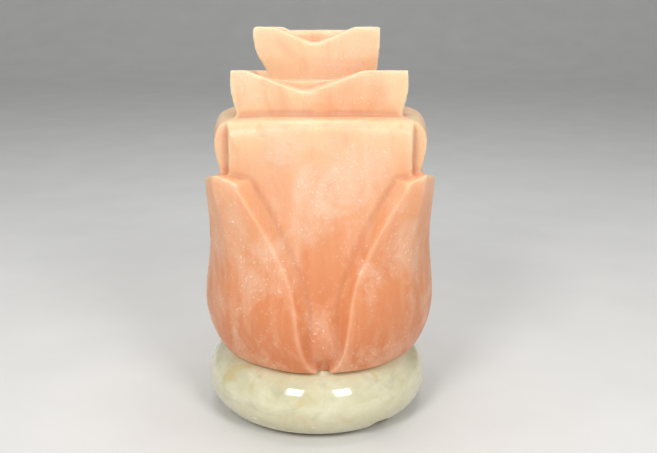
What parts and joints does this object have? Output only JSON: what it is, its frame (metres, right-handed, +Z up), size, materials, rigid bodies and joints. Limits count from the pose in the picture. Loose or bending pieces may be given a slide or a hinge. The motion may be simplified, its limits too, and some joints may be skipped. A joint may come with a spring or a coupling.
{
  "type": "salt crystal lamp",
  "caption": "Table lamp: a salt crystal carved as a rose bud on a round stone base, lit from inside by a screw-in bulb in a holder that clips into the crystal from below.",
  "frame": {"origin": "on the surface the lamp stands on, under the middle of the base", "axes": "+Z up, the front of the rose towards -Y, +X to its right as seen from the front"},
  "size_m": [0.123, 0.123, 0.2073],
  "materials": {
    "salt": "carved salt crystal, translucent, ground and wiped smooth",
    "marble": "polished cream-green marble with pale fossil flecks",
    "felt": "pressed felt",
    "steel": "zinc plated",
    "spring_steel": "satin spring steel",
    "nylon": "moulded",
    "phenolic": "moulded black",
    "ceramic": "glazed",
    "brass": "pressed",
    "solder": "dull tin",
    "vitrite": "black glass",
    "nickel": "nickel plated",
    "bulb_glass": "clear",
    "stem_glass": "clear",
    "lead_wire": "drawn",
    "tungsten": "drawn"
  },
  "bodies": {
    "root": {"salt_crystal": "salt", "stone_base": "marble", "felt_pads": "felt", "base_screws": "steel", "screw_washers": "steel", "screw_plugs": "nylon"},
    "holder": {"clip_plate": "spring_steel", "threaded_nipple": "steel", "nipple_locknut": "steel", "holder_cap": "phenolic", "holder_sleeve": "phenolic", "holder_insert": "ceramic", "terminal_screws": "brass", "screw_shell": "brass", "centre_contact": "brass"},
    "arm_1": {"clip_arm_1": "spring_steel"},
    "arm_2": {"clip_arm_2": "spring_steel"},
    "arm_3": {"clip_arm_3": "spring_steel"},
    "bulb_carrier": {"bulb_contact": "solder"},
    "bulb": {"bulb_insulator": "vitrite", "bulb_cap": "nickel", "bulb_glass": "bulb_glass", "bulb_stem": "stem_glass", "bulb_leads": "lead_wire", "bulb_filament": "tungsten"}
  },
  "joints": [
    {"name": "holder_slide", "type": "slide", "parent": "root", "child": "holder", "axis": [0, 0, -1], "range_m": [0, 0.12]},
    {"name": "arm_1_flex", "type": "hinge", "parent": "holder", "child": "arm_1", "pos_m": [0.01071, -0.01447, 0.0175], "axis": [-0.8039, -0.5948, 0], "range_deg": [0, 2.5], "stiffness_Nm_per_rad": 0.5},
    {"name": "arm_2_flex", "type": "hinge", "parent": "holder", "child": "arm_2", "pos_m": [0.00718, 0.01651, 0.0175], "axis": [0.9171, -0.3987, 0], "range_deg": [0, 2.5], "stiffness_Nm_per_rad": 0.5},
    {"name": "arm_3_flex", "type": "hinge", "parent": "holder", "child": "arm_3", "pos_m": [-0.01788, -0.00204, 0.0175], "axis": [-0.1132, 0.9936, 0], "range_deg": [0, 2.5], "stiffness_Nm_per_rad": 0.5},
    {"name": "bulb_travel", "type": "slide", "parent": "holder", "child": "bulb_carrier", "axis": [0, 0, 1], "range_m": [0, 0.0099]},
    {"name": "bulb_turn", "type": "hinge", "parent": "bulb_carrier", "child": "bulb", "pos_m": [0, 0, 0.04], "axis": [0, 0, 1], "range_deg": [0, 1260]}
  ],
  "couplings": [
    {"joint": "bulb_travel", "follows": "bulb_turn", "m_per_rad": 0.00044882}
  ]
}
